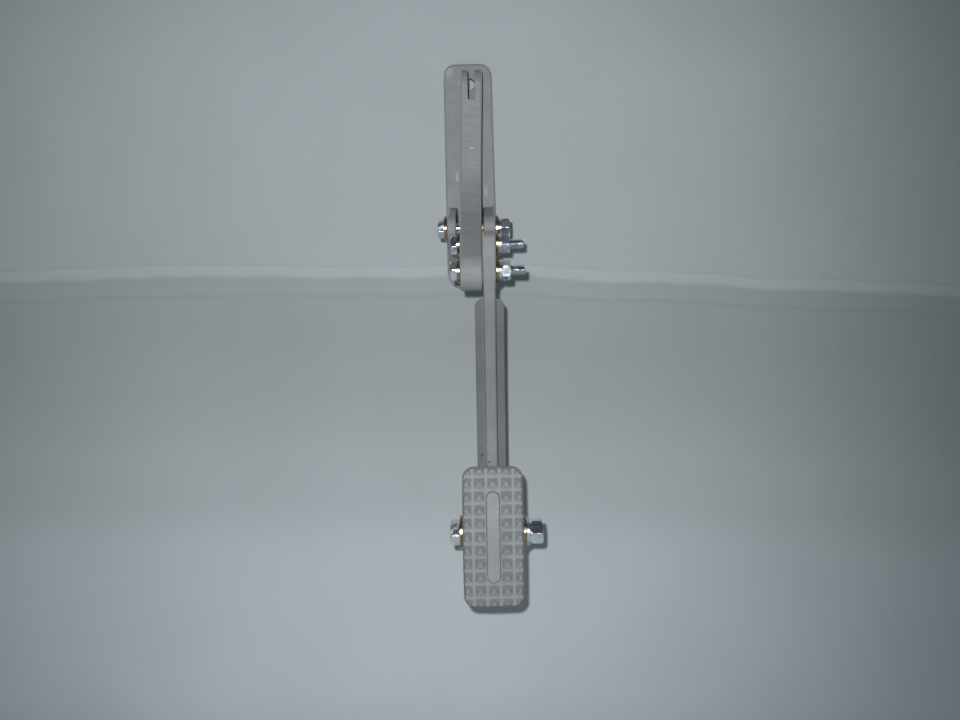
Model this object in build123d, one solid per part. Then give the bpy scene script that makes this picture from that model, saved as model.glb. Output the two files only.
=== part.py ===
from build123d import *
import os
from math import atan2, cos, degrees, pi, radians, sin, tan

# Suspended throttle pedal: a cast bracket for the firewall, a cast throttle lever that
# swings in the bracket's two ears, a cast arm bolted to the lever's side, and a treaded pad.
# Millimetres. X runs to the driver's right, Y forwards to the firewall and Z up.
# The origin is the middle of the bracket's two mounting holes, on its back face.
# "Ahead" is a distance from the firewall towards the driver, "up" a height over the pivot.

# Bracket plate
plate_width = 33.2
plate_top_width = 31.6
plate_top_shift = -0.9
plate_above_pivot = 108.0
plate_below_pivot = 40.0
plate_thickness = 6.0
plate_top_corner = 7.5
plate_bottom_corner = 12.0
plate_edge_bevel = 0.9
mount_hole_diameter = 7.5
mount_hole_spacing = 68.0

# Pivot, and the bracket's ears about it
pivot_below_mount = 61.0
pivot_ahead = 40.0
ear_boss_radius = 8.0
ear_foot_above_pivot = 15.0
ear_foot_below_pivot = 30.0
left_ear_thickness = 5.8
right_ear_thickness = 7.7
left_ear_gap = 2.45
right_ear_gap = 1.25
ear_edge_bevel = 0.6
ear_root_round = 1.0

# Throttle lever
lever_thickness = 13.5
lever_arm_depth = 19.0
lever_plate_gap = 3.0
lever_tip_up = 92.0
lever_lean = 1.9
lever_bend_up = 18.0
lever_front_bend_up = 48.0
lever_back_bend_up = 32.0
lever_front_turn = 50.0
lever_end_radius = 12.2
lever_edge_bevel = 0.7
slot_width = 4.3
slot_bottom_up = 82.0
linkage_hole_diameter = 5.2

# Bolts that join the arm to the lever
upper_bolt_ahead = 53.0
upper_bolt_up = -10.5
lower_bolt_ahead = 68.0
lower_bolt_up = -26.5

# Pedal arm
arm_head_thickness = 8.2
arm_upper_radius = 8.2
arm_lower_radius = 11.0
arm_brow_radius = 5.5
arm_brow_up = -8.5
arm_edge_bevel = 0.7
web_thickness = 7.2
web_front_bow = (70.5, 67.0, 68.5)
web_back_bow = (52.5, 49.5, 50.5)
bow_heights = (-58.0, -100.0, -145.0)
flange_width = 18.2
flange_thickness = 5.0
flange_top_up = -44.0
flange_shoulder = 5.0
eye_radius = 10.0

# Pad and its pivot
pad_pivot_ahead = 66.0
pad_pivot_up = -190.0
pad_tilt = 6.0
pad_width = 37.6
pad_length = 86.0
pad_corner = 6.5
pad_side_bow = 0.4
pad_end_bow = 0.8
pad_face_ahead = 19.2
pad_thickness = 6.0
pad_lug_radius = 10.0
pad_lug_base = 46.0
pad_lug_bevel = 0.8
pad_edge_bevel = 0.8
eye_side_clearance = 0.3
tread_pitch = 8.2
tread_columns = 5
tread_rows = 11
tread_height = 1.2
tread_groove = 1.3
tread_tip = 1.3
tread_margin = 0.4
panel_rows = 7
panel_length = 55.6
panel_width = 7.9
panel_height = 0.7

# Bushings
pivot_bushing_diameter = 9.5
pivot_bushing_flange = 13.0
pad_sleeve_diameter = 12.7
press_clearance = 0.03
running_clearance = 0.12
flange_clearance = 0.15

# Fastener sizes: quarter inch for the pivot and the arm, three eighths for the pad
quarter_inch = dict(
    diameter=6.35,
    across_flats=11.11,
    head_height=3.97,
    nut_height=5.56,
    washer_outer=15.0,
    washer_thickness=1.9,
    lock_outer=12.4,
    lock_thickness=1.6,
)
three_eighths = dict(
    diameter=9.525,
    across_flats=14.29,
    head_height=5.95,
    nut_height=8.33,
    washer_outer=20.6,
    washer_thickness=1.9,
    lock_outer=17.3,
    lock_thickness=2.4,
)
small_bolt_length = 41.3
hole_clearance = 0.2
washer_clearance = 0.4
lock_split = 1.2

# Places along X that follow from the sizes above
lever_right = lever_thickness / 2
lever_left = -lever_right
left_ear_inner = lever_left - left_ear_gap
left_ear_outer = left_ear_inner - left_ear_thickness
right_ear_inner = lever_right + right_ear_gap
right_ear_outer = right_ear_inner + right_ear_thickness
arm_right = lever_right + arm_head_thickness
arm_middle = lever_right + arm_head_thickness / 2
lug_inner = flange_width / 2 + eye_side_clearance
pad_left = arm_middle - pad_width / 2
pad_right = arm_middle + pad_width / 2
lever_back = plate_thickness + lever_plate_gap
lever_front = lever_back + lever_arm_depth
lever_tip_radius = lever_arm_depth / 2
lever_tip_ahead = lever_back + lever_tip_radius
lever_top_up = lever_tip_up + lever_tip_radius
tip_lean = lever_lean * (lever_tip_up - lever_bend_up) / (lever_top_up - lever_bend_up)


def side(ahead, up):
    """A point of the side view, as Y and Z."""
    return (-ahead, up - pivot_below_mount)


def round_point(ahead, up, radius, degrees):
    """A side-view point on a circle; 0 degrees faces the driver and 90 degrees is up."""
    turn = radians(degrees)
    return side(ahead + radius * cos(turn), up + radius * sin(turn))


def heading(degrees):
    """A side-view direction: 0 degrees faces the driver and 90 degrees is up."""
    return (-cos(radians(degrees)), sin(radians(degrees)))


def side_disc(ahead, up, radius):
    return Pos(*side(ahead, up)) * Circle(radius)


def slab(sketch, x_from, x_to):
    """A side-view sketch made solid between two places along X."""
    return extrude(Plane.YZ.offset(x_from) * sketch, x_to - x_from, dir=(1, 0, 0))


def bore(ahead, up, diameter, x_from, x_to):
    return slab(side_disc(ahead, up, diameter / 2), x_from, x_to)


def front_slab(sketch, y_from, y_to):
    """A front-view sketch, drawn in X and Z, made solid between two places along Y."""
    return extrude(Plane.XZ.offset(-y_to) * sketch, y_to - y_from, dir=(0, -1, 0))


def rim_edges(solid, x_places):
    """The edges round the flat faces that stand at the given places along X."""
    edges = ShapeList()
    for face in solid.faces().filter_by(Axis.X):
        if any(abs(face.center().X - place) < 0.01 for place in x_places):
            edges += face.outer_wire().edges()
    return edges


def ear(x_inner, x_outer):
    """One lug of the bracket: a round boss run down in two straight flanks to the plate."""
    root = plate_thickness / 2
    boss = side_disc(pivot_ahead, 0, ear_boss_radius)
    foot = Line(side(root, ear_foot_above_pivot), side(root, -ear_foot_below_pivot))
    outline = make_hull(boss.edges() + [foot.edge()])
    left, right = sorted((x_inner, x_outer))
    lug = slab(outline, left, right)
    return chamfer(rim_edges(lug, (left, right)), ear_edge_bevel)


def plate_outline():
    top = plate_above_pivot - pivot_below_mount
    bottom = -plate_below_pivot - pivot_below_mount
    shape = Polygon(
        (plate_top_shift - plate_top_width / 2, top),
        (-plate_width / 2, -pivot_below_mount),
        (-plate_width / 2, bottom),
        (plate_width / 2, bottom),
        (plate_width / 2, -pivot_below_mount),
        (plate_top_shift + plate_top_width / 2, top),
        align=None,
    )
    by_height = shape.vertices().sort_by(Axis.Y)
    shape = fillet(by_height[:2], plate_bottom_corner)
    by_height = shape.vertices().sort_by(Axis.Y)
    return fillet(by_height[-2:], plate_top_corner)


def ear_root_edges(body):
    """The straight lines where the ears' inner sides meet the plate's front."""
    edges = ShapeList()
    for edge in body.edges().filter_by(Axis.Z):
        on_front = abs(edge.center().Y + plate_thickness) < 0.01
        across = edge.center().X
        if on_front and any(abs(across - x) < 0.01 for x in (left_ear_inner, right_ear_inner)):
            edges.append(edge)
    return edges


def bracket():
    plate = front_slab(plate_outline(), -plate_thickness, 0)
    front = plate.faces().sort_by(Axis.Y)[0]
    plate = chamfer(front.edges(), plate_edge_bevel)
    body = plate + ear(left_ear_inner, left_ear_outer) + ear(right_ear_inner, right_ear_outer)
    body = fillet(ear_root_edges(body), ear_root_round)
    for up in (mount_hole_spacing / 2, -mount_hole_spacing / 2):
        hole = Pos(0, 0, up) * Rot(90, 0, 0) * Cylinder(mount_hole_diameter / 2, 3 * plate_thickness)
        body -= hole
    hole_diameter = quarter_inch["diameter"] + hole_clearance
    return body - bore(pivot_ahead, 0, hole_diameter, left_ear_outer - 1, right_ear_outer + 1)


def sweep(edge_ahead, bend_up, radius, turn):
    """A bend from an upright edge into a line that touches the lever's round lower end.

    A negative radius touches the back of the round end. The turn is in radians.
    """
    reach = lower_bolt_ahead + radius * cos(turn) - edge_ahead
    drop = bend_up - lower_bolt_up - radius * sin(turn)
    bend_radius = (drop - reach / tan(turn)) / tan(turn / 2)
    start, middle, finish = (
        side(edge_ahead + bend_radius * (1 - cos(part)), bend_up - bend_radius * sin(part))
        for part in (0, turn / 2, turn)
    )
    touch = side(edge_ahead + reach, lower_bolt_up + radius * sin(turn))
    return [ThreePointArc(start, middle, finish), Line(finish, touch)]


def lever_side():
    """The lever in side view: a straight arm with a round tip, then a sweep out to a round end."""
    front_turn = radians(lever_front_turn)
    back_turn = atan2(lower_bolt_ahead - pivot_ahead, -lower_bolt_up)
    front = sweep(lever_front, lever_front_bend_up, lever_end_radius, front_turn)
    back = sweep(lever_back, lever_back_bend_up, -lever_end_radius, back_turn)
    low_turn = degrees(front_turn + back_turn - pi) / 2
    end_low = round_point(lower_bolt_ahead, lower_bolt_up, lever_end_radius, low_turn)
    tip_top = round_point(lever_tip_ahead, lever_tip_up, lever_tip_radius, 90)
    front_top = side(lever_front, lever_tip_up)
    back_top = side(lever_back, lever_tip_up)
    edges = [
        ThreePointArc(back_top, tip_top, front_top),
        Line(front_top, front[0] @ 0),
        *front,
        ThreePointArc(front[1] @ 1, end_low, back[1] @ 1),
        *back,
        Line(back[0] @ 0, back_top),
    ]
    return make_face(edges)


def lever_front_view():
    """The lever seen by the driver: straight at the hub, leaning a little right above it."""
    low = -pivot_below_mount + lower_bolt_up - 2 * lever_end_radius
    bend = lever_bend_up - pivot_below_mount
    top = lever_top_up - pivot_below_mount
    return Polygon(
        (lever_left, low),
        (lever_left, bend),
        (lever_left + lever_lean, top),
        (lever_right + lever_lean, top),
        (lever_right, bend),
        (lever_right, low),
        align=None,
    )


def throttle_lever():
    reach = lower_bolt_ahead + 2 * lever_end_radius
    wide = lever_thickness + abs(lever_lean)
    blank = slab(lever_side(), -wide, wide) & front_slab(lever_front_view(), -reach, 0)
    cheeks = [face for face in blank.faces() if abs(face.normal_at().X) > 0.99]
    rims = [edge for face in cheeks for edge in face.edges() if not is_bend_line(edge)]
    lever = chamfer(ShapeList(rims), lever_edge_bevel)
    slot_top = lever_top_up + slot_width - pivot_below_mount
    slot_low = slot_bottom_up - pivot_below_mount
    slot = Box(slot_width, 2 * lever_arm_depth, slot_top - slot_low)
    lever -= Pos(tip_lean, -lever_tip_ahead, (slot_top + slot_low) / 2) * slot
    lever -= bore(lever_tip_ahead, lever_tip_up, linkage_hole_diameter, -wide, wide)
    lever -= bore(pivot_ahead, 0, pivot_bushing_diameter + 2 * press_clearance, -wide, wide)
    bolt_hole = quarter_inch["diameter"] + hole_clearance
    lever -= bore(upper_bolt_ahead, upper_bolt_up, bolt_hole, -wide, wide)
    return lever - bore(lower_bolt_ahead, lower_bolt_up, bolt_hole, -wide, wide)


def is_bend_line(edge):
    """True for the straight line across a side face where the lever begins to lean."""
    bend = lever_bend_up - pivot_below_mount
    return abs(edge.start_point().Z - bend) < 0.01 and abs(edge.end_point().Z - bend) < 0.01


def bowed_edge(start, start_heading, bow, end, end_heading):
    """A long smooth edge of the arm through the three bow points."""
    points = [side(ahead, up) for ahead, up in zip(bow, bow_heights)]
    return Spline(start, *points, end, tangents=(heading(start_heading), heading(end_heading)))


def web_side():
    """The arm's middle web in side view, from the lower bolt to the eye."""
    front_top = round_point(lower_bolt_ahead, lower_bolt_up, arm_lower_radius, -15)
    front_low = round_point(pad_pivot_ahead, pad_pivot_up, eye_radius, 10)
    back_top = round_point(lower_bolt_ahead, lower_bolt_up, arm_lower_radius, 180)
    back_low = round_point(pad_pivot_ahead, pad_pivot_up, eye_radius, 195)
    head_top = round_point(lower_bolt_ahead, lower_bolt_up, arm_lower_radius, 80)
    eye_bottom = round_point(pad_pivot_ahead, pad_pivot_up, eye_radius, -77)
    edges = [
        bowed_edge(front_top, -105, web_front_bow, front_low, -80),
        ThreePointArc(front_low, eye_bottom, back_low),
        bowed_edge(back_top, -90, web_back_bow, back_low, -75),
        ThreePointArc(back_top, head_top, front_top),
    ]
    return make_face(edges)


def flange_side():
    """The flange in side view: a strip of even thickness along the back of the web."""
    back_top = round_point(lower_bolt_ahead, lower_bolt_up, arm_lower_radius, 180)
    back_low = round_point(pad_pivot_ahead, pad_pivot_up, eye_radius, 195)
    back = bowed_edge(back_top, -90, web_back_bow, back_low, -75)
    front = Pos(-flange_thickness, 0) * back
    edges = [back, front, Line(back @ 0, front @ 0), Line(back @ 1, front @ 1)]
    return make_face(edges)


def flange_front_view():
    """The flange seen by the driver, with round shoulders at its top."""
    top = flange_top_up - pivot_below_mount
    low = pad_pivot_up - pivot_below_mount
    shape = Pos(arm_middle, (top + low) / 2) * Rectangle(flange_width, top - low)
    return fillet(shape.vertices().sort_by(Axis.Y)[-2:], flange_shoulder)


def arm_head():
    """The arm's flat head: rounded about both bolts, with an upright front between them."""
    upper = side_disc(upper_bolt_ahead, upper_bolt_up, arm_upper_radius)
    lower = side_disc(lower_bolt_ahead, lower_bolt_up, arm_lower_radius)
    brow_ahead = lower_bolt_ahead + arm_lower_radius - arm_brow_radius
    brow = side_disc(brow_ahead, arm_brow_up, arm_brow_radius)
    outline = make_hull(upper.edges() + lower.edges() + brow.edges())
    head = slab(outline, lever_right, arm_right)
    return chamfer(rim_edges(head, (lever_right, arm_right)), arm_edge_bevel)


def pedal_arm():
    half_web = web_thickness / 2
    web = slab(web_side(), arm_middle - half_web, arm_middle + half_web)
    web = chamfer(rim_edges(web, (arm_middle - half_web, arm_middle + half_web)), arm_edge_bevel)
    half_flange = flange_width / 2
    reach = pad_pivot_ahead + lower_bolt_ahead
    flange = slab(flange_side(), arm_middle - half_flange, arm_middle + half_flange)
    flange &= front_slab(flange_front_view(), -reach, 0)
    eye_left = arm_middle - half_flange
    eye = bore(pad_pivot_ahead, pad_pivot_up, 2 * eye_radius, eye_left, eye_left + flange_width)
    arm = arm_head() + web + flange + eye
    bolt_hole = quarter_inch["diameter"] + hole_clearance
    arm -= bore(upper_bolt_ahead, upper_bolt_up, bolt_hole, lever_left, arm_right + 1)
    arm -= bore(lower_bolt_ahead, lower_bolt_up, bolt_hole, lever_left, arm_right + 1)
    sleeve_hole = pad_sleeve_diameter + 2 * running_clearance
    return arm - bore(pad_pivot_ahead, pad_pivot_up, sleeve_hole, pad_left, pad_right)


def pad_outline(margin):
    """The pad's face: a tall rectangle with bowed sides and round corners."""
    half_width = pad_width / 2 - margin
    half_length = pad_length / 2 - margin
    corner_x = half_width - pad_side_bow
    corner_z = half_length - pad_end_bow
    edges = [
        ThreePointArc((corner_x, -corner_z), (half_width, 0), (corner_x, corner_z)),
        ThreePointArc((corner_x, corner_z), (0, half_length), (-corner_x, corner_z)),
        ThreePointArc((-corner_x, corner_z), (-half_width, 0), (-corner_x, -corner_z)),
        ThreePointArc((-corner_x, -corner_z), (0, -half_length), (corner_x, -corner_z)),
    ]
    shape = make_face(edges)
    return fillet(shape.vertices(), pad_corner - margin)


def tread(floor):
    """The pyramids of the tread, left out in the middle for a bare raised panel."""
    base = tread_pitch - tread_groove
    slope = degrees(atan2(base - tread_tip, 2 * tread_height))
    stud = extrude(Rectangle(base, base), tread_height, taper=slope)
    stud = Pos(0, -floor, 0) * Rot(90, 0, 0) * stud
    studs = []
    for column in range(tread_columns):
        for row in range(tread_rows):
            across = column - (tread_columns - 1) / 2
            along = row - (tread_rows - 1) / 2
            if across == 0 and abs(along) <= (panel_rows - 1) / 2:
                continue
            studs.append(Pos(across * tread_pitch, 0, along * tread_pitch) * stud)
    field = front_slab(pad_outline(pad_edge_bevel + tread_margin), -floor - 2 * tread_height, -floor)
    inside = [stud & field for stud in studs]
    panel = front_slab(SlotOverall(panel_length, panel_width, rotation=90), -floor - panel_height, -floor)
    return inside + [panel]


def pedal_pad():
    """The pad, drawn about its own bolt with the face upright, then tilted and put in place."""
    floor = pad_face_ahead - tread_height
    inner = pad_face_ahead - pad_thickness
    plate = front_slab(pad_outline(0), -floor, -inner)
    plate = chamfer(plate.faces().sort_by(Axis.Y)[0].edges(), pad_edge_bevel)
    root = (floor + inner) / 2
    base = Line((-root, pad_lug_base / 2), (-root, -pad_lug_base / 2))
    outline = make_hull(Circle(pad_lug_radius).edges() + [base.edge()])
    half = pad_width / 2
    lugs = []
    for x_from, x_to in ((-half, -lug_inner), (lug_inner, half)):
        lug = slab(outline, x_from, x_to)
        lugs.append(chamfer(rim_edges(lug, (x_from, x_to)), pad_lug_bevel))
    body = plate + lugs + tread(floor)
    hole = three_eighths["diameter"] + hole_clearance
    body -= extrude(Plane.YZ.offset(-pad_width) * Circle(hole / 2), 2 * pad_width)
    return on_pad_pivot(body)


def on_pad_pivot(shape):
    return Pos(arm_middle, *side(pad_pivot_ahead, pad_pivot_up)) * Rot(-pad_tilt, 0, 0) * shape


def along_x(shape, x, ahead, up):
    """Lay a piece drawn about +Z along +X, starting at x."""
    return Pos(x, *side(ahead, up)) * Rot(0, 90, 0) * shape


def hexagon(size):
    return RegularPolygon(size["across_flats"] / 2, 6, major_radius=False)


def bolt(size, length):
    """A hexagon-head bolt: its head below zero, its shank above."""
    head = Pos(0, 0, -size["head_height"]) * extrude(hexagon(size), size["head_height"])
    return head + extrude(Circle(size["diameter"] / 2), length)


def ring(outer, inner, height):
    return extrude(Circle(outer / 2) - Circle(inner / 2), height)


def nut(size):
    hole = Circle((size["diameter"] + hole_clearance) / 2)
    return extrude(hexagon(size) - hole, size["nut_height"])


def lock_washer(size):
    """A split spring washer, drawn pressed flat."""
    inner = size["diameter"] + washer_clearance
    split = Pos(size["lock_outer"] / 2, 0, size["lock_thickness"] / 2) * Rot(18, 0, 0)
    split *= Box(size["lock_outer"], lock_split, 3 * size["lock_thickness"])
    return ring(size["lock_outer"], inner, size["lock_thickness"]) - split


def fastener_set(name, size, length, left_face, right_face, place, turns):
    """One bolt through the joint: head and washer on the left, washers and nut on the right."""
    washer = ring(size["washer_outer"], size["diameter"] + washer_clearance, size["washer_thickness"])
    head_seat = left_face - size["washer_thickness"]
    lock_seat = right_face + size["washer_thickness"]
    nut_seat = lock_seat + size["lock_thickness"]
    head_turn, nut_turn = turns
    return {
        f"{name}_bolt": along_x(Rot(0, 0, head_turn) * bolt(size, length), head_seat, *place),
        f"{name}_head_washer": along_x(washer, head_seat, *place),
        f"{name}_flat_washer": along_x(washer, right_face, *place),
        f"{name}_lock_washer": along_x(lock_washer(size), lock_seat, *place),
        f"{name}_nut": along_x(Rot(0, 0, nut_turn) * nut(size), nut_seat, *place),
    }


def pivot_bushing():
    """A flanged bush pressed in the lever from the right; its flange rides on the ear."""
    inner = quarter_inch["diameter"] + 2 * running_clearance
    flange = right_ear_gap - flange_clearance
    body = ring(pivot_bushing_diameter, inner, lever_thickness + flange)
    body += Pos(0, 0, lever_thickness) * ring(pivot_bushing_flange, inner, flange)
    return along_x(body, lever_left, pivot_ahead, 0)


def pad_sleeve():
    """A steel sleeve held between the pad's lugs, on which the arm's eye turns."""
    inner = three_eighths["diameter"] + hole_clearance
    body = ring(pad_sleeve_diameter, inner, 2 * lug_inner)
    return along_x(body, arm_middle - lug_inner, pad_pivot_ahead, pad_pivot_up)


pad_bolt_length = (
    pad_width
    + 2 * three_eighths["washer_thickness"]
    + three_eighths["lock_thickness"]
    + three_eighths["nut_height"]
)

# Each turn pair is how the head and the nut happen to stand, in degrees
parts = {
    "bracket": bracket(),
    "throttle_lever": throttle_lever(),
    "pivot_bushing": pivot_bushing(),
    "pedal_arm": pedal_arm(),
    "pedal_pad": pedal_pad(),
    "pad_sleeve": pad_sleeve(),
}
pivot_place = (pivot_ahead, 0)
upper_place = (upper_bolt_ahead, upper_bolt_up)
lower_place = (lower_bolt_ahead, lower_bolt_up)
pad_place = (pad_pivot_ahead, pad_pivot_up)
small = (quarter_inch, small_bolt_length)
parts |= fastener_set("pivot", *small, left_ear_outer, right_ear_outer, pivot_place, (0, 30))
parts |= fastener_set("arm_upper", *small, lever_left, arm_right, upper_place, (30, 30))
parts |= fastener_set("arm_lower", *small, lever_left, arm_right, lower_place, (24, 0))
parts |= fastener_set("pad", three_eighths, pad_bolt_length, pad_left, pad_right, pad_place, (30, 25))

os.makedirs("parts", exist_ok=True)
for name, shape in parts.items():
    export_step(shape, f"parts/{name}.step")
    print(name, len(shape.solids()), round(shape.volume, 1))
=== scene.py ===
from math import cos, floor, pi, radians, sin, sqrt

import bpy
from mathutils import Euler, Matrix, Vector


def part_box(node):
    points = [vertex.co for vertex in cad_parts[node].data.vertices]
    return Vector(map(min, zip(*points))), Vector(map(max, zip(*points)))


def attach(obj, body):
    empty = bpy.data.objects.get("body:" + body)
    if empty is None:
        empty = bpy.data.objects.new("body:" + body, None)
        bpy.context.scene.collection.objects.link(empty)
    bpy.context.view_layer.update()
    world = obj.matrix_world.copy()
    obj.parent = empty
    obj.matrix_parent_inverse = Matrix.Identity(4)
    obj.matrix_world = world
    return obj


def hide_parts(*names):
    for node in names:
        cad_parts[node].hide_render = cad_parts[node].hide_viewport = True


# Looks of a suspended throttle pedal: four shot-blasted aluminium castings held together by
# zinc-plated hexagon bolts, with yellow zinc flat washers and split lock washers.
# Metres and degrees, in the frame of the CAD model: X to the driver's right, Y to the
# firewall, Z up.

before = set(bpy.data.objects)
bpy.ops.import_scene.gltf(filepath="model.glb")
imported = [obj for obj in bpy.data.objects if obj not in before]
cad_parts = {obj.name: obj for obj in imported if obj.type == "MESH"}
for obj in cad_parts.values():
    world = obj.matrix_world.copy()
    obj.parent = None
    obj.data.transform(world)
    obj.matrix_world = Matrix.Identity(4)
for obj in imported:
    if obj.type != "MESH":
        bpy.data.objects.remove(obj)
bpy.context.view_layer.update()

MM = 0.001
SAME_HEIGHT = 1e-6
SMOOTH_ANGLE = 35
FACE_WEIGHT = 80

# Fasteners, by the size of the bolt
ACROSS_FLATS = {"small": 11.11 * MM, "large": 14.29 * MM}
MAJOR_RADIUS = {"small": 3.175 * MM, "large": 4.7625 * MM}
PITCH = {"small": 1.27 * MM, "large": 1.5875 * MM}
THREADED = {"small": 21.0 * MM, "large": 24.0 * MM}
ROUND_SIDES = 48
PAST = 1 * MM  # how far a cutting piece reaches past what it cuts

# Hexagons: a turned crown cuts the corners back; widths are shares of that across the flats
EDGE_BREAK = 0.16 * MM
HALF_SIDE_TURN = 30
CROWN_SIDES = 72
CROWN_RADIUS = 0.585
CROWN_CHAMFER = 0.092
WASHER_FACE_RADIUS = 0.47
WASHER_FACE_HEIGHT = 0.25 * MM
WASHER_FACE_ROOT = 0.4 * MM
DISH_RIM = 0.12
DISH_SLOPE = 0.05
DISH_DEPTH = 0.22 * MM

# Rolled thread: depth and tip as shares of the pitch, crest and flank of half a pitch
THREAD_DEPTH = 0.58
THREAD_CREST = 0.12
THREAD_FLANK = 0.74
THREAD_RINGS = 12
TIP_CUT = 0.72
ROD_ROOT = 0.5 * MM

# Nuts and washers
BORE_PLAY = 0.06 * MM
COUNTERSINK = 0.38 * MM
WASHER_SIDES = 64
WASHER_PLAY = 0.2 * MM
WASHER_RIM = 0.16  # share of the thickness
RIM_ANGLE = 40
SPLIT_WIDTH = 1.2 * MM
SPLIT_SLANT = 18

# Bolts: size, the body that each rides on, and how far its head and its nut are turned
FASTENER_PARTS = ("bolt", "head_washer", "flat_washer", "lock_washer", "nut")
YELLOW_PARTS = ("head_washer", "flat_washer")
BOLTS = (
    ("pivot", "small", "bracket", -10, 30),
    ("arm_upper", "small", "pedal", 41, 30),
    ("arm_lower", "small", "pedal", 24, 6),
    ("pad", "large", "pad", 30, 25),
)

# Castings: the body that each rides on, the grid and the rounds of smoothing that soften it,
# and how lumpy the sand left its skin
CAST_VOXEL = 0.43 * MM
PAD_VOXEL = 0.36 * MM
LUMP_HEIGHT = 0.09 * MM
LUMP_WIDTH = 3.5 * MM
WELD = 1e-6
CASTINGS = (
    ("bracket", "bracket", CAST_VOXEL, 4),
    ("throttle_lever", "pedal", CAST_VOXEL, 4),
    ("pedal_arm", "pedal", CAST_VOXEL, 4),
    ("pedal_pad", "pad", PAD_VOXEL, 2),
)

# Cast aluminium: its colour, what lies over it, and what multiplies it
ALUMINIUM = (0.232, 0.245, 0.253)
FILE_MARK = (0.10, 0.105, 0.11, 1.0)
# painted shade in the hollows
SHADE_IN_HOLLOWS = (0.055, 0.057, 0.058, 1.0)
# bright edges: rubbed wear, and on the tread's tips a painted highlight
EDGE_WEAR_AND_GLINT = (0.60, 0.61, 0.61, 1.0)
# painted glints and highlights
GLINT = (0.50, 0.51, 0.52, 1.0)
# painted shade inside the pits
SHADE_IN_PITS = (0.03, 0.03, 0.032, 1.0)
# painted shade beside the web's front strip
SHADE_BESIDE_STRIP = (0.68, 0.69, 0.71, 1.0)
# painted shade on the tread's slopes
SHADE_ON_TREAD_SLOPES = (0.62, 0.63, 0.64, 1.0)
# painted shade on the arm
ARM_SHADE_TINT = (0.82, 0.82, 0.83, 1.0)

# Places on the castings, each with its reach, in millimetres
# Painted glints: bright specks painted where highlights fall on the plate, then on the lever
GLINTS_PAINTED_ON_PLATE = (
    ((-8.7, -6.0, -26.0), (1.6, 2.0, 4.2)),
    ((10.2, -6.0, -35.5), (1.3, 2.0, 4.6)),
    ((-12.6, -6.0, 42.0), (3.2, 2.0, 3.4)),
    ((-9.5, -6.0, 0.4), (2.0, 2.0, 0.7)),
    ((-6.8, -6.0, 35.0), (0.9, 2.0, 1.3)),
)
GLINT_PAINTED_ON_LEVER = (((1.3, -28.0, -10.0), (2.0, 2.0, 0.8)),)
PITS_IN_ARM = (
    ((4.7, -53.0, -204.5), (0.9, 6.0, 1.3)),
    ((9.3, -68.0, -206.0), (0.8, 5.0, 0.6)),
)
PITS_IN_PAD = (((-6.6, -82.0, -287.3), (2.2, 4.0, 1.2)),)
# Painted shade over the arm below its head
SHADE_PAINTED_ON_ARM = (((10.0, -65.0, -145.0), (30.0, 60.0, 46.0)),)
# The web's front strip; the skin beside it is painted darker as painted shade
STRIP_ON_ARM = (10.85, 4.4)
# The way the tread faces; what slopes away from it is painted darker as painted shade
PAD_FACING = (0.0, -cos(radians(2)), -sin(radians(2)))

# Plating: the tints that its film drifts between, its roughness, and the painted shade in its
# hollows
CLEAR_TINTS = ((0.60, 0.68, 0.78, 1.0), (0.74, 0.78, 0.82, 1.0), (0.80, 0.80, 0.76, 1.0))
YELLOW_TINTS = ((0.38, 0.28, 0.13, 1.0), (0.34, 0.32, 0.19, 1.0), (0.38, 0.24, 0.19, 1.0))
CLEAR_ROUGHNESS = 0.17
YELLOW_ROUGHNESS = 0.19
# painted shade in the plating's hollows
ZINC_SHADE_IN_HOLLOWS = (0.10, 0.10, 0.105, 1.0)
DARK_BRONZE = (0.10, 0.075, 0.045, 1.0)
LIGHT_BRONZE = (0.22, 0.15, 0.08, 1.0)

# The folded sheet behind the pedal
SHEET_COLOUR = (0.372, 0.408, 0.425)
SHEET_WIDTH = 2.4
SHEET_ABOVE = 1.1
SHEET_BELOW = 1.3
SHEET_BEHIND = 1.2 * MM
SHEET_LEAN = 3.0
FOLD_Z = -0.1017
FOLD_STEPS = 10
FOLD_STEP = 1.2 * MM

# Painted light and shade on the sheet at each height: a painted highlight on the fold's lip
# between two lines of painted shade, and below the fold painted darker, then lighter towards
# the bottom. Towards the right the painted crease drops, and along its length it wanders up
# and down.
SHEET_TOP_TONE = 1.6
SHEET_PAINTED_LIGHT = (
    (-0.3800, 1.57), (-0.2740, 1.28), (-0.2460, 1.11), (-0.2110, 1.03), (-0.1970, 0.97),
    (-0.1700, 0.89), (-0.1360, 0.835), (-0.1060, 0.83), (-0.1035, 0.77), (-0.1010, 0.85),
    (-0.0920, 0.82), (-0.0895, 1.01), (-0.0845, 1.05), (-0.0830, 0.93), (-0.0812, 0.985),
    (-0.02, 1.0), (0.05, 1.05),
)
CREASE_DROP = 0.065
CREASE_WANDER = 0.012

# Camera; lamps, with their power in watts; and the world's tones from straight down to
# straight up
CAMERA_PLACE = (0.0057, -0.6261, -0.0794)
CAMERA_PITCH = -6.41
CAMERA_TURN = 0.13
CAMERA_ROLL = -0.96
CAMERA_LENS = 34.33
SENSOR_WIDTH = 36
KEY_PLACE = (-0.0173, -0.63, -0.0425)
KEY_TARGET = (-0.043, 0.0, -0.12)
KEY_POWER = 11.7
KEY_BEAM = 81
KEY_HEIGHT = 1.12
KEY_RADIUS = 8 * MM
PEDAL_MIDDLE = (0.005, -0.04, -0.12)
SOFT_LAMPS = (  # name, place, size, power, colour
    ("soft top", (0.0, -0.12, 0.72), 0.9, 0.25, (0.94, 0.97, 1.0)),
    ("back left", (-0.6, 0.8, 0.45), 0.6, 6.0, (1, 1, 1)),
    ("back right", (0.7, 0.7, 0.3), 0.6, 4.5, (1, 1, 1)),
)
WORLD_FILL = 0.8
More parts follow.
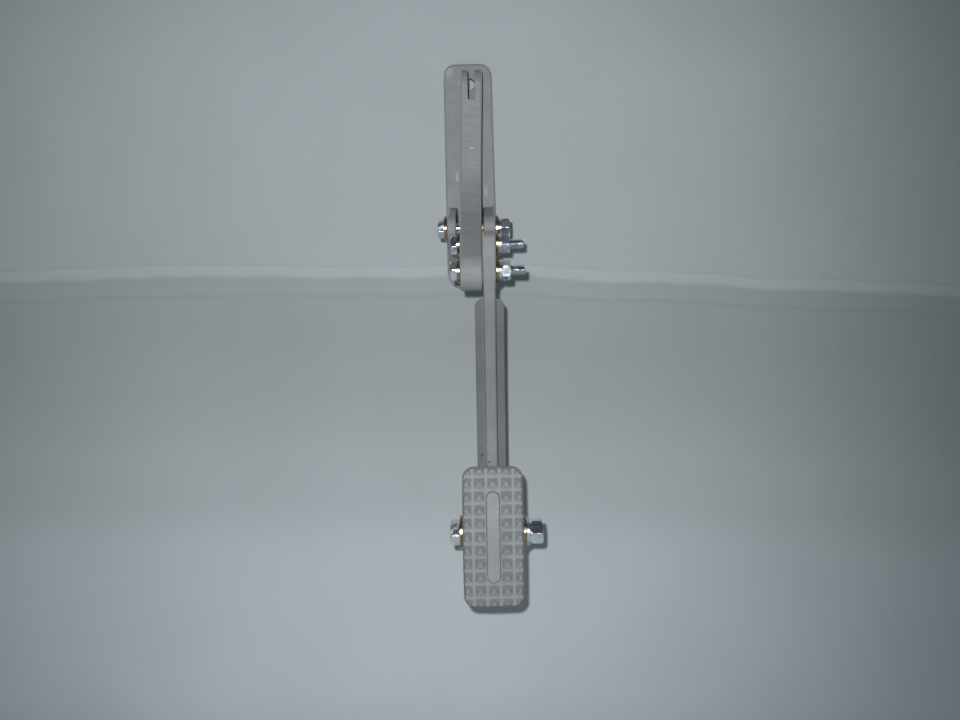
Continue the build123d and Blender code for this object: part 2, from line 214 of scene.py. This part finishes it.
WORLD_TONES = (
    (0.0, (0.42, 0.46, 0.48, 1)),
    (0.42, (0.37, 0.41, 0.43, 1)),
    (0.53, (0.16, 0.18, 0.20, 1)),
    (0.66, (0.045, 0.052, 0.075, 1)),
    (1.0, (0.012, 0.015, 0.025, 1)),
)


def deselect():
    for thing in bpy.context.selected_objects:
        thing.select_set(False)
    bpy.context.view_layer.objects.active = None


def make_active(thing):
    deselect()
    thing.select_set(True)
    bpy.context.view_layer.objects.active = thing


def add_object(name, data):
    made = bpy.data.objects.new(name, data)
    bpy.context.scene.collection.objects.link(made)
    return made


def pick_nothing(thing, kind):
    """Leave the mesh with none of its faces or edges selected."""
    make_active(thing)
    bpy.ops.object.mode_set(mode="EDIT")
    bpy.ops.mesh.select_mode(type=kind)
    bpy.ops.mesh.select_all(action="DESELECT")
    bpy.ops.object.mode_set(mode="OBJECT")


def edit_faces(thing, wanted):
    """Open the mesh for editing with just the faces that the test picks selected."""
    pick_nothing(thing, "FACE")
    for face in thing.data.polygons:
        face.select = wanted(face)
    bpy.ops.object.mode_set(mode="EDIT")


def edit_edges(thing, wanted):
    """Open the mesh for editing with just the edges that the test picks selected."""
    pick_nothing(thing, "EDGE")
    points = thing.data.vertices
    for edge in thing.data.edges:
        start, end = (points[i].co for i in edge.vertices)
        edge.select = wanted(start, end)
    bpy.ops.object.mode_set(mode="EDIT")


def finish_edit():
    bpy.ops.object.mode_set(mode="OBJECT")


def at_height(height):
    """A test that picks the edges that lie at one height."""
    return lambda a, b: abs(a.z - height) < SAME_HEIGHT and abs(b.z - height) < SAME_HEIGHT


def upright(length):
    """A test that picks the edges that rise by more than a length."""
    return lambda a, b: abs(a.z - b.z) > length


def cylinder(radius, low, high, sides=ROUND_SIDES):
    """A solid cylinder on the Z axis between two heights."""
    deselect()
    bpy.ops.mesh.primitive_cylinder_add(
        vertices=sides, radius=radius, depth=high - low, location=(0, 0, (high + low) / 2)
    )
    bpy.ops.object.transform_apply(location=True, rotation=True, scale=True)
    return bpy.context.object


def apply_modifier(thing, kind, **settings):
    make_active(thing)
    modifier = thing.modifiers.new(kind, kind)
    for name, value in settings.items():
        setattr(modifier, name, value)
    bpy.ops.object.modifier_apply(modifier=modifier.name)


def combine(first, second, operation):
    """Boolean of two solids; the second one is used up."""
    apply_modifier(first, "BOOLEAN", object=second, operation=operation, solver="EXACT")
    bpy.data.objects.remove(second, do_unlink=True)
    return first


def shade(thing):
    """Smooth across the small edge breaks while the large faces stay flat."""
    make_active(thing)
    bpy.ops.object.shade_smooth_by_angle(angle=radians(SMOOTH_ANGLE))
    apply_modifier(thing, "WEIGHTED_NORMAL", weight=FACE_WEIGHT, keep_sharp=True)


def hexagon_prism(across_flats, low, high):
    """A six-sided bar with its long edges a little round."""
    prism = cylinder(across_flats / sqrt(3), low, high, sides=6)
    edit_edges(prism, upright((high - low) / 2))
    bpy.ops.mesh.bevel(offset=EDGE_BREAK, segments=2, profile=0.5)
    finish_edit()
    prism.data.transform(Matrix.Rotation(radians(HALF_SIDE_TURN), 4, "Z"))
    return prism


def turned_crown(across_flats, low, high, ends):
    """The turned body that cuts a hexagon's corners back at its ends."""
    crown = cylinder(across_flats * CROWN_RADIUS, low, high, sides=CROWN_SIDES)
    for end in ends:
        edit_edges(crown, at_height(end))
        bpy.ops.mesh.bevel(offset=across_flats * CROWN_CHAMFER, segments=1, profile=0.5)
        finish_edit()
    return crown


def bolt_head(across_flats, height):
    """A forged head below zero, with a washer face under it and a shallow dished top."""
    head = hexagon_prism(across_flats, -height - PAST, -WASHER_FACE_HEIGHT)
    crown = turned_crown(across_flats, -height, PAST, (-height,))
    edit_faces(crown, lambda face: face.normal.z < -0.99)
    bpy.ops.mesh.inset(thickness=across_flats * DISH_RIM, use_even_offset=True)
    bpy.ops.mesh.inset(thickness=across_flats * DISH_SLOPE, depth=-DISH_DEPTH)
    finish_edit()
    combine(head, crown, "INTERSECT")
    washer_face = cylinder(across_flats * WASHER_FACE_RADIUS, -WASHER_FACE_ROOT, 0.0)
    return combine(head, washer_face, "UNION")


def thread_wave(turns):
    """How deep the thread is cut, 0 on the crest and 1 in the root."""
    from_middle = abs(turns - floor(turns) - 0.5) * 2
    return min(1.0, max(0.0, (from_middle - THREAD_CREST) / THREAD_FLANK))


def threaded_rod(radius, length, threaded, pitch):
    """A bolt's shank on +Z: plain, then rolled thread to a chamfered tip."""
    rod = cylinder(radius, -ROD_ROOT, length)
    edit_edges(rod, upright(length / 2))
    bpy.ops.mesh.subdivide(number_cuts=int(threaded / pitch * THREAD_RINGS))
    finish_edit()
    for point in rod.data.vertices:
        share = (point.co.z + ROD_ROOT) / (length + ROD_ROOT)
        if share < 0.001:
            continue  # the ring inside the head stays there
        above_start = threaded * share
        height = length - threaded + above_start
        around = point.co.xy.angle_signed(Vector((1, 0))) / (2 * pi)
        cut = thread_wave(height / pitch - around) * THREAD_DEPTH * pitch
        run_in = min(1.0, above_start / pitch)
        tip = radius - TIP_CUT * pitch + length - height
        kept = min(radius - cut * run_in, tip) / radius
        point.co = (point.co.x * kept, point.co.y * kept, height)
    return rod


def hexagon_bolt(size, head_height, length):
    bolt = bolt_head(ACROSS_FLATS[size], head_height)
    rod = threaded_rod(MAJOR_RADIUS[size], length, THREADED[size], PITCH[size])
    return combine(bolt, rod, "UNION")


def hexagon_nut(size, height):
    """A nut on +Z, chamfered at both ends, with a countersunk bore."""
    across_flats = ACROSS_FLATS[size]
    nut = hexagon_prism(across_flats, -PAST, height + PAST)
    combine(nut, turned_crown(across_flats, 0, height, (0, height)), "INTERSECT")
    bore_radius = MAJOR_RADIUS[size] + BORE_PLAY
    bore = cylinder(bore_radius, -PAST, height + PAST)
    edit_edges(bore, upright(height / 2))
    bpy.ops.mesh.subdivide(number_cuts=2)
    finish_edit()
    flare = (bore_radius + PAST + COUNTERSINK) / bore_radius
    for point in bore.data.vertices:
        if point.co.z < -PAST / 2 or point.co.z > height + PAST / 2:
            point.co.x *= flare
            point.co.y *= flare
        else:
            point.co.z = COUNTERSINK if point.co.z < height / 2 else height - COUNTERSINK
    return combine(nut, bore, "DIFFERENCE")


def punched_washer(size, outer_radius, thickness):
    """A flat washer on +Z: a disc with its middle punched out and its rims a little round."""
    inner_radius = MAJOR_RADIUS[size] + WASHER_PLAY
    washer = cylinder(outer_radius, 0, thickness, sides=WASHER_SIDES)
    edit_faces(washer, lambda face: abs(face.normal.z) > 0.9)
    bpy.ops.mesh.inset(thickness=outer_radius - inner_radius, use_even_offset=True)
    bpy.ops.mesh.bridge_edge_loops()
    finish_edit()
    apply_modifier(
        washer, "BEVEL", width=thickness * WASHER_RIM, segments=3,
        limit_method="ANGLE", angle_limit=radians(RIM_ANGLE),
    )
    return washer


def split_washer(size, outer_radius, thickness):
    """A lock washer pressed flat: a square-section ring with a slanting cut."""
    washer = punched_washer(size, outer_radius, thickness)
    deselect()
    bpy.ops.mesh.primitive_cube_add(size=1, location=(outer_radius, 0, thickness / 2))
    cutter = bpy.context.object
    cutter.scale = (outer_radius, SPLIT_WIDTH, thickness * 3)
    cutter.rotation_euler = Euler((radians(SPLIT_SLANT), 0, 0))
    bpy.ops.object.transform_apply(location=True, rotation=True, scale=True)
    return combine(washer, cutter, "DIFFERENCE")


def lay_along_x(thing, start_x, y, z, turn):
    """Turn a piece drawn about +Z to lie along +X, starting at start_x, as the CAD does."""
    place = Matrix.Translation((start_x, y, z)) @ Matrix.Rotation(radians(90), 4, "Y")
    thing.data.transform(place @ Matrix.Rotation(radians(turn), 4, "Z"))


def dress(piece, name, body, material):
    piece.name = name
    piece.data.name = name
    piece.data.materials.clear()
    piece.data.materials.append(material)
    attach(piece, body)


def add_node(tree, kind, **settings):
    node = tree.nodes.new(kind)
    for name, value in settings.items():
        setattr(node, name, value)
    return node


def new_group(name, inputs, outputs):
    """A shader node group of masks and values: inputs with their defaults, and outputs."""
    group = bpy.data.node_groups.new(name, "ShaderNodeTree")
    for socket, default in inputs.items():
        made = group.interface.new_socket(socket, in_out="INPUT", socket_type="NodeSocketFloat")
        made.default_value = default
    for socket in outputs:
        group.interface.new_socket(socket, in_out="OUTPUT", socket_type="NodeSocketFloat")
    return group, group.nodes.new("NodeGroupInput"), group.nodes.new("NodeGroupOutput")


def place_group(tree, group, **values):
    node = add_node(tree, "ShaderNodeGroup", node_tree=group)
    for name, value in values.items():
        node.inputs[name.replace("_", " ")].default_value = value
    return node.outputs


def coordinates(tree):
    return tree.nodes.new("ShaderNodeTexCoord").outputs


def axes(tree, vector):
    node = tree.nodes.new("ShaderNodeSeparateXYZ")
    tree.links.new(vector, node.inputs["Vector"])
    return node.outputs


def noise(tree, coords, scale, detail, rough):
    node = add_node(tree, "ShaderNodeTexNoise", noise_dimensions="3D")
    node.inputs["Scale"].default_value = scale
    node.inputs["Detail"].default_value = detail
    node.inputs["Roughness"].default_value = rough
    tree.links.new(coords, node.inputs["Vector"])
    return node.outputs["Fac"]


def fill(tree, sockets, values):
    """Link or set each socket, as its value is another socket or a plain one."""
    for socket, value in zip(sockets, values):
        if isinstance(value, (int, float, tuple)):
            socket.default_value = value
        else:
            tree.links.new(value, socket)


def maths(tree, operation, first, second=0.0):
    node = add_node(tree, "ShaderNodeMath", operation=operation)
    fill(tree, node.inputs, (first, second))
    return node.outputs["Value"]


def vector_maths(tree, operation, first, second=(0.0, 0.0, 0.0)):
    node = add_node(tree, "ShaderNodeVectorMath", operation=operation)
    fill(tree, node.inputs, (first, second))
    return node.outputs


def remap(tree, value, low, high, to_low=0.0, to_high=1.0):
    node = add_node(tree, "ShaderNodeMapRange", clamp=True)
    names = ("Value", "From Min", "From Max", "To Min", "To Max")
    fill(tree, (node.inputs[name] for name in names), (value, low, high, to_low, to_high))
    return node.outputs["Result"]


def mix_colours(tree, factor, first, second, blend="MIX"):
    node = add_node(tree, "ShaderNodeMix", data_type="RGBA", blend_type=blend)
    fill(tree, (node.inputs[0], node.inputs[6], node.inputs[7]), (factor, first, second))
    return node.outputs[2]


def colour_ramp(tree, factor, stops):
    """A colour ramp through the stops, each a place from 0 to 1 and a colour."""
    node = tree.nodes.new("ShaderNodeValToRGB")
    ramp = node.color_ramp.elements
    ramp[0].position, ramp[0].color = stops[0]
    ramp[1].position, ramp[1].color = stops[-1]
    for place, colour in stops[1:-1]:
        ramp.new(place).color = colour
    tree.links.new(factor, node.inputs["Fac"])
    return node.outputs["Color"]


def scaled(colour, share):
    """A red, green and blue made lighter or darker, with the alpha that sockets ask for."""
    return tuple(part * share for part in colour) + (1.0,)


def cast_skin_group():
    """The blasted skin of a sand casting: its tone, its bright flecks and its relief."""
    group, _, out = new_group("cast skin", {}, ("Tone", "Glint flecks", "Relief"))
    coords = coordinates(group)["Object"]
    blotches = noise(group, coords, scale=75, detail=4, rough=0.6)
    grain = noise(group, coords, scale=950, detail=3, rough=0.7)
    fine = noise(group, coords, scale=2600, detail=2, rough=0.6)

    def blend(first, first_share, second, second_share):
        first_part = maths(group, "MULTIPLY", first, first_share)
        return maths(group, "ADD", first_part, maths(group, "MULTIPLY", second, second_share))

    tone = blend(blotches, 0.45, grain, 0.55)
    group.links.new(remap(group, tone, 0.34, 0.66), out.inputs["Tone"])
    # Shiny flecks, painted light as glints
    cells = add_node(group, "ShaderNodeTexVoronoi", feature="F1")
    cells.inputs["Scale"].default_value = 760
    group.links.new(coords, cells.inputs["Vector"])
    near = remap(group, cells.outputs["Distance"], 0.12, 0.26, 1.0, 0.0)
    patches = noise(group, coords, scale=42, detail=3, rough=0.65)
    patches = remap(group, patches, 0.60, 0.72, 0.0, 0.35)
    group.links.new(maths(group, "MULTIPLY", near, patches), out.inputs["Glint flecks"])
    group.links.new(blend(grain, 0.65, fine, 0.35), out.inputs["Relief"])
    return group


def edge_group():
    """Masks of the sharp edges and of the hollows, broken up by a noise."""
    group, given, out = new_group(
        "edges and hollows",
        {"Edge from": 0.53, "Edge to": 0.60, "Hollow from": 0.47, "Hollow to": 0.42},
        ("Edges", "Hollows"),
    )
    bend = group.nodes.new("ShaderNodeNewGeometry").outputs["Pointiness"]
    patches = noise(group, coordinates(group)["Object"], scale=260, detail=4, rough=0.7)
    patches = remap(group, patches, 0.3, 0.62)
    for mask, kind in (("Edges", "Edge"), ("Hollows", "Hollow")):
        ends = (given.outputs[kind + " from"], given.outputs[kind + " to"])
        masked = maths(group, "MULTIPLY", remap(group, bend, *ends), patches)
        group.links.new(masked, out.inputs[mask])
    return group


CAST_SKIN = cast_skin_group()
EDGES_AND_HOLLOWS = edge_group()


def near_place(tree, coords, place, reach):
    """A soft mask round one place on a piece; place and reach are in millimetres."""
    away = vector_maths(tree, "SUBTRACT", coords, tuple(Vector(place) * MM))["Vector"]
    away = vector_maths(tree, "DIVIDE", away, tuple(Vector(reach) * MM))["Vector"]
    away = vector_maths(tree, "LENGTH", away)["Value"]
    return remap(tree, away, 0.45, 1.0, 1.0, 0.0)


def marks(tree, coords, places, grain=1.0):
    """Masks round several places, put together and broken into specks by the grain."""
    total = 0.0
    for place, reach in places:
        total = maths(tree, "MAXIMUM", near_place(tree, coords, place, reach), total)
    return maths(tree, "MULTIPLY", total, grain)


def new_material(name):
    material = bpy.data.materials.new(name)
    material.use_nodes = True
    tree = material.node_tree
    return material, tree, tree.nodes["Principled BSDF"]


def bump(tree, shader, height, strength, distance):
    node = tree.nodes.new("ShaderNodeBump")
    node.inputs["Strength"].default_value = strength
    node.inputs["Distance"].default_value = distance
    tree.links.new(height, node.inputs["Height"])
    tree.links.new(node.outputs["Normal"], shader.inputs["Normal"])


def cast_aluminium(
    name, lightness, edge_wear_and_glint, lines, hollow_shade=0.6,
    painted_glints=(), pits=(), painted_shade=(), strip=None, facing=None,
):
    """Blasted cast aluminium.

    How bright the edges are comes after the lightness: partly rubbed wear, and on the tread's
    tips a painted highlight. Lines is how strongly file marks run across the faces; then comes
    how dark the hollows are painted, as painted shade. Glints are painted at the given places
    where highlights fall, pits are blowholes painted near black inside as painted shade, and
    further places are painted darker as painted shade. A strip is a band along the parting
    line: its middle and half its width along X, in millimetres; the skin beside it is painted
    darker, as painted shade on the web's rounded sides and on the flanges. Facing is the way
    that flat treads face: what slopes away from it is painted darker, as painted shade.
    """
    material, tree, shader = new_material(name)
    coords = coordinates(tree)
    place = coords["Object"]
    skin = place_group(tree, CAST_SKIN)
    edges = place_group(tree, EDGES_AND_HOLLOWS)
    tint = tuple(part * lightness for part in ALUMINIUM)
    colour = mix_colours(tree, skin["Tone"], scaled(tint, 0.88), scaled(tint, 1.10))
    # Painted shade: the skin beside the strip is darker
    if strip:
        middle, half_width = strip
        away = maths(tree, "SUBTRACT", axes(tree, place)["X"], middle * MM)
        away = maths(tree, "ABSOLUTE", away)
        shaded_beside = remap(tree, away, (half_width - 0.3) * MM, (half_width + 0.3) * MM)
        colour = mix_colours(tree, shaded_beside, colour, SHADE_BESIDE_STRIP, "MULTIPLY")
    # Painted shade on the slopes of the tread
    if facing:
        flatness = vector_maths(tree, "DOT_PRODUCT", coords["Normal"], facing)["Value"]
        slope_shade = remap(tree, flatness, 0.90, 0.99, 1.0, 0.0)
        colour = mix_colours(tree, slope_shade, colour, SHADE_ON_TREAD_SLOPES, "MULTIPLY")
    # Painted shade over given places
    if painted_shade:
        colour = mix_colours(tree, marks(tree, place, painted_shade), colour, ARM_SHADE_TINT, "MULTIPLY")
    streaks = add_node(tree, "ShaderNodeMapping")
    streaks.inputs["Scale"].default_value = (0.05, 1.0, 1.0)
    tree.links.new(place, streaks.inputs["Vector"])
    filed = noise(tree, streaks.outputs["Vector"], scale=900, detail=3, rough=0.6)
    shadowed = remap(tree, filed, 0.35, 0.62, lines * 0.35, 0.0)
    colour = mix_colours(tree, shadowed, colour, FILE_MARK)
    # Painted shade in the hollows
    shade_in_hollow = maths(tree, "MULTIPLY", edges["Hollows"], hollow_shade)
    colour = mix_colours(tree, shade_in_hollow, colour, SHADE_IN_HOLLOWS)
    # Bright edges and tips: rubbed wear together with a painted highlight
    wear_and_glint = maths(tree, "MULTIPLY", edges["Edges"], edge_wear_and_glint)
    colour = mix_colours(tree, wear_and_glint, colour, EDGE_WEAR_AND_GLINT)
    # Painted glints: fine flecks, and specks at given places where highlights fall
    specks = remap(tree, noise(tree, place, scale=1500, detail=2, rough=0.7), 0.50, 0.60)
    glints = maths(tree, "MAXIMUM", skin["Glint flecks"], marks(tree, place, painted_glints, specks))
    colour = mix_colours(tree, glints, colour, GLINT)
    # Pits: real blowholes, their insides painted near black as painted shade
    holes = marks(tree, place, pits)
    colour = mix_colours(tree, holes, colour, SHADE_IN_PITS)
    tree.links.new(colour, shader.inputs["Base Color"])
    roughness = remap(tree, skin["Tone"], 0.0, 1.0, 0.74, 0.67)
    roughness = maths(tree, "SUBTRACT", roughness, maths(tree, "MULTIPLY", glints, 0.22))
    tree.links.new(roughness, shader.inputs["Roughness"])
    shader.inputs["Metallic"].default_value = 0.12
    height = maths(tree, "ADD", skin["Relief"], maths(tree, "MULTIPLY", filed, lines))
    height = maths(tree, "SUBTRACT", height, maths(tree, "MULTIPLY", holes, 3.0))
    bump(tree, shader, height, strength=0.55, distance=0.22 * MM)
    return material


def plated_zinc(name, tints, roughness):
    """Bright zinc plating, a little dented, whose passivated film drifts between three tints."""
    material, tree, shader = new_material(name)
    coords = coordinates(tree)["Object"]
    drift = noise(tree, coords, scale=240, detail=2, rough=0.5)
    film = colour_ramp(tree, drift, tuple(zip((0.36, 0.5, 0.64), tints)))
    edges = place_group(
        tree, EDGES_AND_HOLLOWS, Edge_from=0.515, Edge_to=0.56, Hollow_from=0.485, Hollow_to=0.45
    )
    # Painted shade in the hollows
    shade_in_hollow = maths(tree, "MULTIPLY", edges["Hollows"], 0.6)
    tree.links.new(mix_colours(tree, shade_in_hollow, film, ZINC_SHADE_IN_HOLLOWS), shader.inputs["Base Color"])
    mottle = noise(tree, coords, scale=1400, detail=3, rough=0.65)
    mottled = remap(tree, mottle, 0.3, 0.7, roughness - 0.05, roughness + 0.09)
    tree.links.new(mottled, shader.inputs["Roughness"])
    shader.inputs["Metallic"].default_value = 1.0
    dents = noise(tree, coords, scale=330, detail=0, rough=0.5)
    height = maths(tree, "ADD", maths(tree, "MULTIPLY", mottle, 0.12), dents)
    bump(tree, shader, height, strength=0.8, distance=0.3 * MM)
    return material


def plain_bronze():
    material, tree, shader = new_material("plain bronze")
    coords = coordinates(tree)["Object"]
    tarnish = noise(tree, coords, scale=420, detail=4, rough=0.65)
    colour = mix_colours(tree, remap(tree, tarnish, 0.35, 0.65), DARK_BRONZE, LIGHT_BRONZE)
    tree.links.new(colour, shader.inputs["Base Color"])
    tree.links.new(remap(tree, tarnish, 0.3, 0.7, 0.55, 0.42), shader.inputs["Roughness"])
    shader.inputs["Metallic"].default_value = 1.0
    scratches = noise(tree, coords, scale=2200, detail=2, rough=0.5)
    bump(tree, shader, scratches, strength=0.2, distance=0.05 * MM)
    return material


def sheet_material():
    """The pale sheet: seen from its front only, so that the views from behind show the pedal."""
    material, tree, shader = new_material("pale sheet")
    coords = coordinates(tree)["Object"]
    cloud = noise(tree, coords, scale=9, detail=4, rough=0.55)
    dark, light = (scaled(SHEET_COLOUR, share * SHEET_TOP_TONE) for share in (0.965, 1.03))
    colour = mix_colours(tree, remap(tree, cloud, 0.3, 0.7), dark, light)
    across = axes(tree, coords)
    wander = maths(tree, "MULTIPLY", maths(tree, "SUBTRACT", cloud, 0.5), CREASE_WANDER)
    drop = maths(tree, "MULTIPLY", maths(tree, "MAXIMUM", across["X"], 0.0), CREASE_DROP)
    level = maths(tree, "ADD", maths(tree, "ADD", across["Z"], drop), wander)
    lowest, highest = SHEET_PAINTED_LIGHT[0][0], SHEET_PAINTED_LIGHT[-1][0]
    stops = [
        ((height - lowest) / (highest - lowest), scaled((tone, tone, tone), 1 / SHEET_TOP_TONE))
        for height, tone in SHEET_PAINTED_LIGHT
    ]
    # Painted light and shade over the fold and down the sheet
    tone = colour_ramp(tree, remap(tree, level, lowest, highest), stops)
    colour = mix_colours(tree, 1.0, colour, tone, "MULTIPLY")
    tree.links.new(colour, shader.inputs["Base Color"])
    shader.inputs["Roughness"].default_value = 0.95
    shader.inputs["Specular IOR Level"].default_value = 0.15
    grain = noise(tree, coords, scale=260, detail=3, rough=0.7)
    bump(tree, shader, grain, strength=0.5, distance=0.6 * MM)
    clear = tree.nodes.new("ShaderNodeBsdfTransparent")
    both = tree.nodes.new("ShaderNodeMixShader")
    behind = tree.nodes.new("ShaderNodeNewGeometry").outputs["Backfacing"]
    shadow = tree.nodes.new("ShaderNodeLightPath").outputs["Is Shadow Ray"]
    tree.links.new(maths(tree, "MAXIMUM", behind, shadow), both.inputs["Fac"])
    tree.links.new(shader.outputs["BSDF"], both.inputs[1])
    tree.links.new(clear.outputs["BSDF"], both.inputs[2])
    tree.links.new(both.outputs["Shader"], tree.nodes["Material Output"].inputs["Surface"])
    return material


CAST_FINISH = {
    "bracket": cast_aluminium(
        "cast aluminium bracket", lightness=1.0, edge_wear_and_glint=0.05, lines=0.1, painted_glints=GLINTS_PAINTED_ON_PLATE
    ),
    "throttle_lever": cast_aluminium(
        "cast aluminium lever", lightness=1.05, edge_wear_and_glint=0.05, lines=0.6, painted_glints=GLINT_PAINTED_ON_LEVER
    ),
    "pedal_arm": cast_aluminium(
        "cast aluminium arm", lightness=0.94, edge_wear_and_glint=0.1, lines=0.2,
        pits=PITS_IN_ARM, painted_shade=SHADE_PAINTED_ON_ARM, strip=STRIP_ON_ARM,
    ),
    "pedal_pad": cast_aluminium(
        "cast aluminium pad", lightness=1.25, edge_wear_and_glint=0.5, lines=0.1, hollow_shade=0.25,
        pits=PITS_IN_PAD, facing=PAD_FACING,
    ),
}
ZINC_FINISH = {
    "clear_zinc": plated_zinc("clear zinc", CLEAR_TINTS, CLEAR_ROUGHNESS),
    "yellow_zinc": plated_zinc("yellow zinc", YELLOW_TINTS, YELLOW_ROUGHNESS),
}


def sand_lumps():
    lumps = bpy.data.textures.new("sand lumps", "CLOUDS")
    lumps.noise_scale = LUMP_WIDTH
    lumps.noise_depth = 2
    return lumps


def soft_casting(node, body, voxel, smoothing, lumps):
    """A CAD casting with its edges run soft and its skin a little lumpy, as sand leaves it."""
    piece = add_object("cast_" + node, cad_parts[node].data.copy())
    make_active(piece)
    bpy.ops.object.mode_set(mode="EDIT")
    bpy.ops.mesh.select_all(action="SELECT")
    bpy.ops.mesh.remove_doubles(threshold=WELD)
    finish_edit()
    apply_modifier(piece, "REMESH", mode="VOXEL", voxel_size=voxel, adaptivity=0.0)
    apply_modifier(piece, "SMOOTH", factor=0.5, iterations=smoothing)
    apply_modifier(
        piece, "DISPLACE",
        texture=lumps, strength=LUMP_HEIGHT, mid_level=0.5, texture_coords="LOCAL",
    )
    make_active(piece)
    bpy.ops.object.shade_smooth()
    dress(piece, "cast_" + node, body, CAST_FINISH[node])
    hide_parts(node)


def fastener_boxes(name):
    return {part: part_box(f"{name}_{part}") for part in FASTENER_PARTS}


def model_fasteners(name, size):
    """Meshes of a bolt's five pieces, drawn about +Z and as large as their CAD nodes."""
    boxes = fastener_boxes(name)
    spans = {part: high - low for part, (low, high) in boxes.items()}
    under_head = boxes["head_washer"][0].x
    low, high = boxes["bolt"]
    thickness = spans["head_washer"].x
    lock = spans["lock_washer"]
    made = {
        "bolt": hexagon_bolt(size, under_head - low.x, high.x - under_head),
        "head_washer": punched_washer(size, spans["head_washer"].z / 2, thickness),
        "flat_washer": punched_washer(size, spans["flat_washer"].z / 2, thickness),
        "lock_washer": split_washer(size, lock.y / 2, lock.x),
        "nut": hexagon_nut(size, spans["nut"].x),
    }
    meshes = {part: piece.data for part, piece in made.items()}
    for piece in made.values():
        bpy.data.objects.remove(piece, do_unlink=True)
    return meshes


def fasten(name, body, head_turn, nut_turn, meshes):
    """Copies of the five pieces of a bolt, each in the place of its CAD node."""
    boxes = fastener_boxes(name)
    starts = {part: low.x for part, (low, _) in boxes.items()}
    starts["bolt"] = starts["head_washer"]
    turns = {"bolt": head_turn, "nut": nut_turn}
    washer_low, washer_high = boxes["head_washer"]
    centre = (washer_low + washer_high) / 2
    for part in FASTENER_PARTS:
        piece = add_object(f"plated_{name}_{part}", meshes[part].copy())
        lay_along_x(piece, starts[part], centre.y, centre.z, turns.get(part, 0))
        shade(piece)
        slot = "yellow_zinc" if part in YELLOW_PARTS else "clear_zinc"
        dress(piece, f"plated_{name}_{part}", body, ZINC_FINISH[slot])
        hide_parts(f"{name}_{part}")


def folded_sheet():
    """A pale sheet behind the bracket, folded just below it and clear of the pressed pedal."""
    lean = radians(SHEET_LEAN)
    deselect()
    bpy.ops.mesh.primitive_plane_add(size=1)
    sheet = bpy.context.object
    sheet.name = "pale_sheet"
    sheet.data.transform(Matrix.Rotation(radians(90), 4, "X"))
    sheet.data.transform(Matrix.Diagonal((SHEET_WIDTH, 1, SHEET_ABOVE, 1)))
    sheet.data.transform(Matrix.Translation((0, SHEET_BEHIND, FOLD_Z + SHEET_ABOVE / 2)))
    edit_edges(sheet, at_height(FOLD_Z))
    runs = [(lean * (step + 1) / FOLD_STEPS, FOLD_STEP) for step in range(FOLD_STEPS)]
    for bend, length in runs + [(lean, SHEET_BELOW)]:
        bpy.ops.mesh.extrude_region_move(
            TRANSFORM_OT_translate={"value": (0, -sin(bend) * length, -cos(bend) * length)}
        )
    finish_edit()
    make_active(sheet)
    bpy.ops.object.shade_smooth()
    sheet.data.materials.append(sheet_material())


def aim(place, target):
    """Where a lamp stands and which way it shines."""
    direction = (Vector(target) - Vector(place)).to_track_quat("-Z", "Y")
    return Matrix.Translation(place) @ direction.to_matrix().to_4x4()


def add_camera():
    data = bpy.data.cameras.new("camera")
    data.lens = CAMERA_LENS
    data.sensor_width = SENSOR_WIDTH
    data.clip_start = 10 * MM
    camera = add_object("camera", data)
    turn = Euler((radians(90 + CAMERA_PITCH), 0, radians(CAMERA_TURN))).to_matrix().to_4x4()
    roll = Matrix.Rotation(radians(CAMERA_ROLL), 4, "Z")
    camera.matrix_world = Matrix.Translation(CAMERA_PLACE) @ turn @ roll
    bpy.context.scene.camera = camera


def add_key_lamp():
    """A small soft lamp by the lens, whose beam fades faster to the sides than up and down."""
    data = bpy.data.lights.new("key by the lens", "SPOT")
    data.spot_size = radians(KEY_BEAM)
    data.spot_blend = 1.0
    data.shadow_soft_size = KEY_RADIUS
    data.energy = KEY_POWER
    lamp = add_object("key by the lens", data)
    lamp.matrix_world = aim(KEY_PLACE, KEY_TARGET) @ Matrix.Diagonal((1.0, KEY_HEIGHT, 1.0, 1.0))


def add_soft_lamp(name, place, size, power, colour):
    data = bpy.data.lights.new(name, "AREA")
    data.shape = "DISK"
    data.size = size
    data.energy = power
    data.color = colour
    add_object(name, data).matrix_world = aim(place, PEDAL_MIDDLE)


def light_world():
    """Pale all round and below, darker overhead, the same for the camera and for reflections."""
    world = bpy.data.worlds.new("studio")
    world.use_nodes = True
    bpy.context.scene.world = world
    tree = world.node_tree
    height = maths(tree, "MULTIPLY", axes(tree, coordinates(tree)["Generated"])["Z"], 0.5)
    tones = colour_ramp(tree, maths(tree, "ADD", height, 0.5), WORLD_TONES)
    surface = tree.nodes["Background"]
    tree.links.new(tones, surface.inputs["Color"])
    path = tree.nodes.new("ShaderNodeLightPath").outputs
    seen = maths(tree, "MAXIMUM", path["Is Camera Ray"], path["Is Glossy Ray"])
    seen = maths(tree, "MAXIMUM", seen, path["Is Transmission Ray"])
    tree.links.new(remap(tree, seen, 0, 1, WORLD_FILL, 1.0), surface.inputs["Strength"])


sand = sand_lumps()
for node, body, voxel, smoothing in CASTINGS:
    soft_casting(node, body, voxel, smoothing, sand)

drawn = {"small": model_fasteners("pivot", "small"), "large": model_fasteners("pad", "large")}
for name, size, body, head_turn, nut_turn in BOLTS:
    fasten(name, body, head_turn, nut_turn, drawn[size])

carried_finish = {"pivot_bushing": plain_bronze(), "pad_sleeve": ZINC_FINISH["clear_zinc"]}
for node, material in carried_finish.items():
    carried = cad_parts[node]
    carried.data.materials.clear()
    carried.data.materials.append(material)

folded_sheet()

bpy.context.scene.view_settings.view_transform = "Standard"
add_camera()
light_world()
add_key_lamp()
for name, place, size, power, colour in SOFT_LAMPS:
    add_soft_lamp(name, place, size, power, colour)
